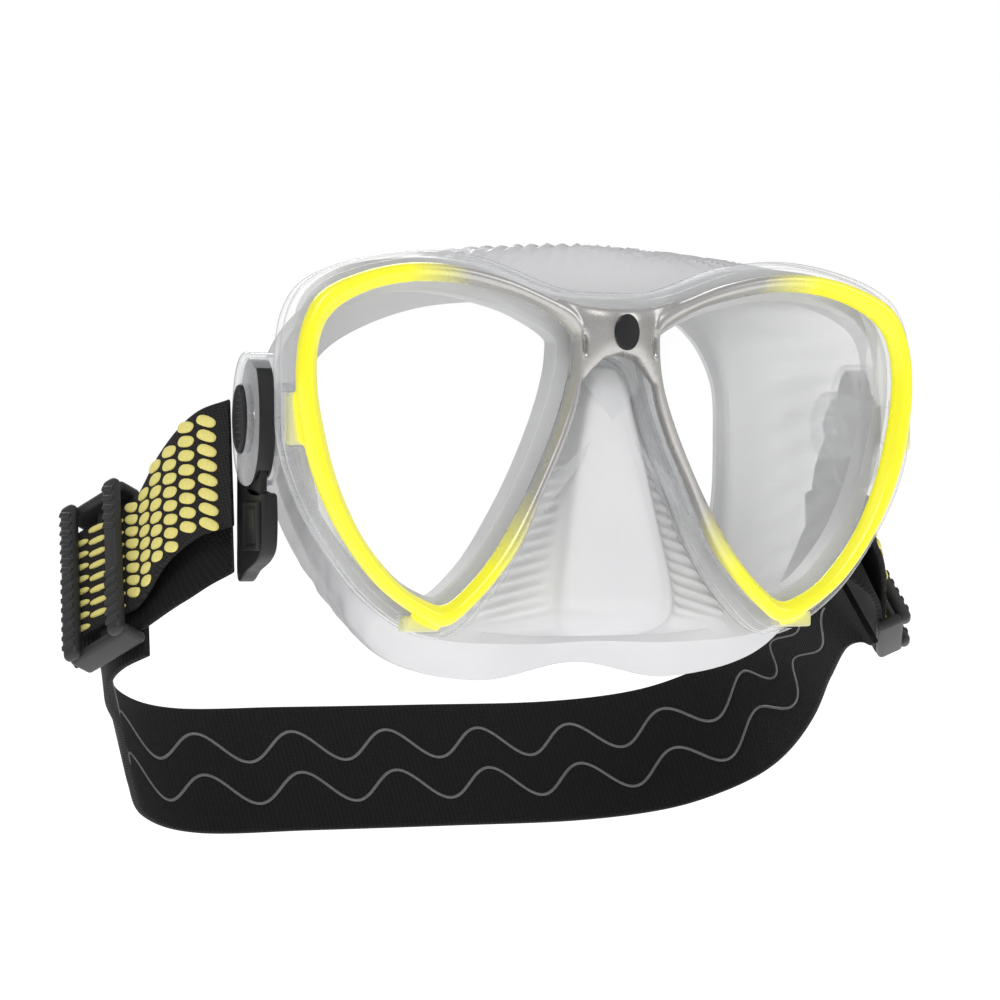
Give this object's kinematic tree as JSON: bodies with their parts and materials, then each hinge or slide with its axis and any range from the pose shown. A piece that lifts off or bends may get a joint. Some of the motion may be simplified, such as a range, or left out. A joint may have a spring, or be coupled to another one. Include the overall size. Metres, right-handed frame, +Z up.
{
  "type": "snorkel mask",
  "caption": "Two-lens snorkel mask: clear frame, one-piece front bezel, soft silicone skirt with nose pocket, swivelling buckles and an adjustable elastic head strap.",
  "frame": {"origin": "middle of the face opening on the mask's plane of symmetry, 42 mm behind the bezel's front face", "axes": "+X towards the wearer's left, +Y back through the face opening towards the head, +Z up"},
  "size_m": [0.2362, 0.1583, 0.1485],
  "materials": {
    "bezel": "satin yellow plastic that fades to silver grey at the bridge and the inner upper rims",
    "clear_plastic": "clear polished polycarbonate",
    "silicone": "milky translucent silicone rubber, satin",
    "badge": "black inlay",
    "lens": "clear tempered glass",
    "steel": "stainless steel",
    "dark_plastic": "charcoal moulded plastic",
    "button": "matt black plastic with grip ribs",
    "clip_plastic": "black moulded plastic, semi-matt",
    "webbing": "woven elastic webbing with rows of raised pale yellow pills",
    "elastic": "black satin elastic with grey silicone grip lines on its inner face",
    "slider_plastic": "charcoal ribbed plastic"
  },
  "bodies": {
    "mask": {"front_bezel": "bezel", "clear_frame": "clear_plastic", "skirt": "silicone", "bridge_badge": "badge", "left_lens": "lens", "right_lens": "lens", "left_pivot_pin": "steel", "right_pivot_pin": "steel"},
    "strap": {"back_strap": "elastic", "left_buckle_shell": "clear_plastic", "left_buckle_core": "dark_plastic", "left_button_spring": "steel", "left_strap_clip": "clip_plastic", "left_pattern_web": "webbing", "left_inner_web": "elastic", "right_buckle_shell": "clear_plastic", "right_buckle_core": "dark_plastic", "right_button_spring": "steel", "right_strap_clip": "clip_plastic", "right_pattern_web": "webbing", "right_inner_web": "elastic"},
    "left_button": {"left_release_button": "button"},
    "right_button": {"right_release_button": "button"},
    "left_slider": {"left_strap_slider": "slider_plastic"},
    "right_slider": {"right_strap_slider": "slider_plastic"}
  },
  "joints": [
    {"name": "strap_swing", "type": "hinge", "parent": "mask", "child": "strap", "pos_m": [0, -0.0145, 0.0065], "axis": [1, 0, 0], "range_deg": [-25, 35]},
    {"name": "left_button_press", "type": "slide", "parent": "strap", "child": "left_button", "axis": [-1, 0, 0], "range_m": [0, 0.0012], "stiffness_N_per_m": 300, "springref_m": -0.002, "deforming": ["left_button_spring"]},
    {"name": "right_button_press", "type": "slide", "parent": "strap", "child": "right_button", "axis": [1, 0, 0], "range_m": [0, 0.0012], "stiffness_N_per_m": 300, "springref_m": -0.002, "deforming": ["right_button_spring"]},
    {"name": "left_slider_slide", "type": "slide", "parent": "strap", "child": "left_slider", "axis": [0.4682, 0.7673, -0.4382], "range_m": [-0.0025, 0.0025]},
    {"name": "right_slider_slide", "type": "slide", "parent": "strap", "child": "right_slider", "axis": [-0.4682, 0.7673, -0.4382], "range_m": [-0.0025, 0.0025]}
  ]
}
